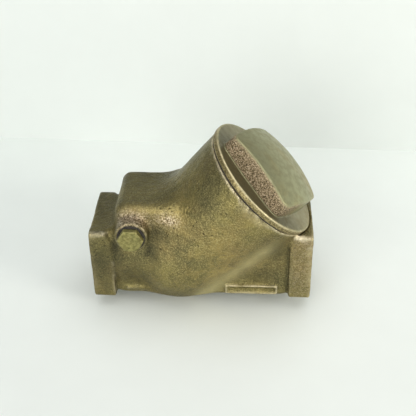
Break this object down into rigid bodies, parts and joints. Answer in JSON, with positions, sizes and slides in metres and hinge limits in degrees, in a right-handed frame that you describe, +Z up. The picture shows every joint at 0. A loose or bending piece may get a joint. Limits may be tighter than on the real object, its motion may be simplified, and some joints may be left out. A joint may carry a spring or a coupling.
{
  "type": "swing check valve",
  "caption": "Y-pattern bronze swing check valve with square threaded ends, slanted screwed cap with a domed square head, and a hinged disc inside.",
  "frame": {"origin": "centre of the inlet mouth, on the flow axis", "axes": "+X along the flow towards the outlet; +Z up, on the cap's side; +Y to the left of the flow, away from the hinge pin plug"},
  "size_m": [0.0807, 0.0476, 0.0683],
  "materials": {
    "body_bronze": "aged sand cast bronze",
    "cap_bronze": "aged sand cast bronze, worn",
    "joint_fibre": "dark fibre",
    "pin_steel": "ground",
    "plug_brass": "turned",
    "inner_bronze": "cast and machined",
    "seat_polymer": "smooth",
    "small_brass": "turned"
  },
  "bodies": {
    "valve": {"valve_body": "body_bronze", "hinge_pin": "pin_steel", "pin_plug": "plug_brass", "plug_washer": "joint_fibre"},
    "cap_ring": {"cap_gasket": "joint_fibre"},
    "cap": {"cap": "cap_bronze"},
    "hanger": {"disc_hanger": "inner_bronze"},
    "disc": {"disc_holder": "inner_bronze", "seat_disc": "seat_polymer", "seat_disc_washer": "small_brass", "seat_disc_nut": "small_brass", "hanger_washer": "small_brass", "hanger_nut": "small_brass"}
  },
  "joints": [
    {"name": "hanger_swing", "type": "hinge", "parent": "valve", "child": "hanger", "pos_m": [0.01609, 0, 0.01591], "axis": [0, -1, 0], "range_deg": [0, 48]},
    {"name": "disc_spin", "type": "hinge", "parent": "hanger", "child": "disc", "pos_m": [0.032, 0, 0], "axis": [0.7071, 0, 0.7071], "continuous": true},
    {"name": "cap_lift", "type": "slide", "parent": "valve", "child": "cap_ring", "axis": [0.7071, 0, 0.7071], "range_m": [0, 0.01201]},
    {"name": "cap_turn", "type": "hinge", "parent": "cap_ring", "child": "cap", "pos_m": [0.032, 0, 0], "axis": [0.7071, 0, 0.7071], "range_deg": [0, 2160]}
  ],
  "couplings": [
    {"joint": "cap_lift", "follows": "cap_turn", "m_per_rad": 0.00031831}
  ]
}
